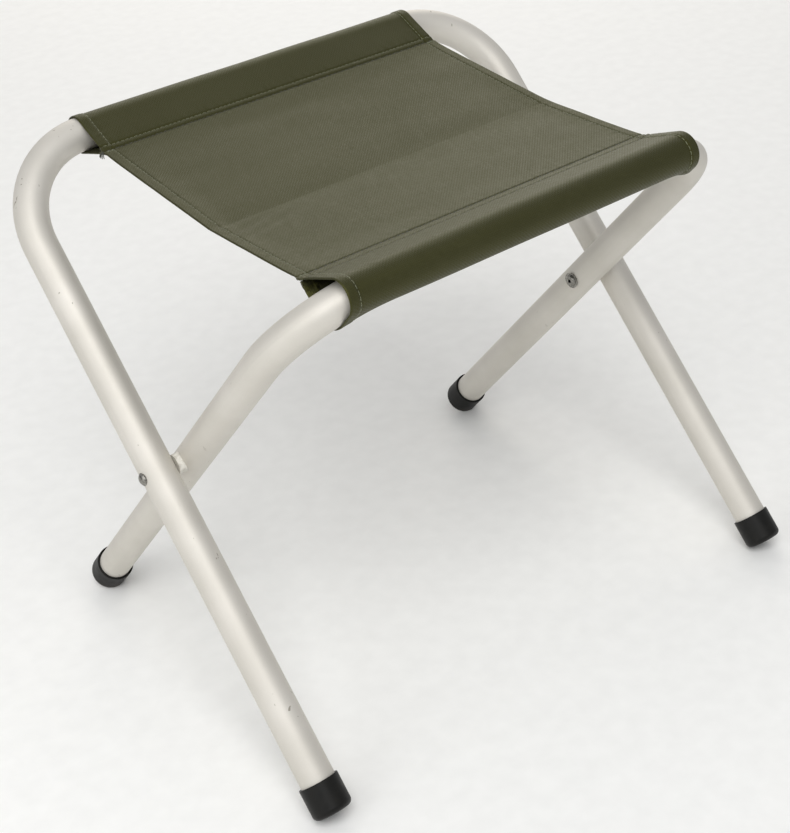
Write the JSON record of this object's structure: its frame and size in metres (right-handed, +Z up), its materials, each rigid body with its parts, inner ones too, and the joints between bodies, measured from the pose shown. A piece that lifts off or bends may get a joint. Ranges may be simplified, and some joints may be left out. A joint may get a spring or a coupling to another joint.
{
  "type": "folding camp stool",
  "caption": "Folding camp stool: two crossing tube frames riveted at the middle of their legs, with a sling seat of cloth between the two top rails and a plastic cap on each foot.",
  "frame": {"origin": "on the floor, under the middle of the open stool", "axes": "+X along both top rails and the pivots' shared axis; +Y towards the rear rail, the outer frame's; +Z up"},
  "size_m": [0.4668, 0.366, 0.387],
  "materials": {
    "tube": "satin champagne anodised",
    "cap": "semi-gloss moulded black plastic",
    "rivet": "plated steel",
    "spacer": "off-white nylon",
    "cloth": "coarse woven olive polyester"
  },
  "bodies": {
    "outer_frame": {"outer_frame": "tube", "outer_cap_left": "cap", "outer_cap_right": "cap", "pivot_rivet_left": "rivet", "pivot_rivet_right": "rivet", "rivet_washer_left": "rivet", "rivet_washer_right": "rivet"},
    "inner_frame": {"inner_frame": "tube", "inner_cap_left": "cap", "inner_cap_right": "cap", "pivot_spacer_left": "spacer", "pivot_spacer_right": "spacer", "front_sleeve": "cloth"},
    "seat_rear_sleeve": {"rear_sleeve": "cloth"},
    "seat_rear": {"rear_panel": "cloth", "rear_hem_left": "cloth", "rear_hem_right": "cloth"},
    "seat_front": {"front_panel": "cloth", "front_hem_left": "cloth", "front_hem_right": "cloth"}
  },
  "joints": [
    {"name": "fold", "type": "hinge", "parent": "outer_frame", "child": "inner_frame", "pos_m": [0, 0.00076, 0.19392], "axis": [-1, 0, 0], "range_deg": [0, 83.5]},
    {"name": "rear_sleeve_turn", "type": "hinge", "parent": "outer_frame", "child": "seat_rear_sleeve", "pos_m": [0, 0.16915, 0.37325], "axis": [1, 0, 0], "range_deg": [0, 91.25]},
    {"name": "rear_panel_turn", "type": "hinge", "parent": "seat_rear_sleeve", "child": "seat_rear", "pos_m": [0, 0.13531, 0.36994], "axis": [-1, 0, 0], "range_deg": [0, 42.05], "deforming": ["rear_panel", "rear_hem_left", "rear_hem_right"]},
    {"name": "front_panel_turn", "type": "hinge", "parent": "inner_frame", "child": "seat_front", "pos_m": [0, -0.10196, 0.35815], "axis": [-1, 0, 0], "range_deg": [0, 40.25]}
  ],
  "couplings": [
    {"joint": "rear_sleeve_turn", "follows": "fold", "ratio": 1.0922},
    {"joint": "rear_panel_turn", "follows": "fold", "ratio": 0.503},
    {"joint": "front_panel_turn", "follows": "fold", "ratio": 0.4814}
  ]
}
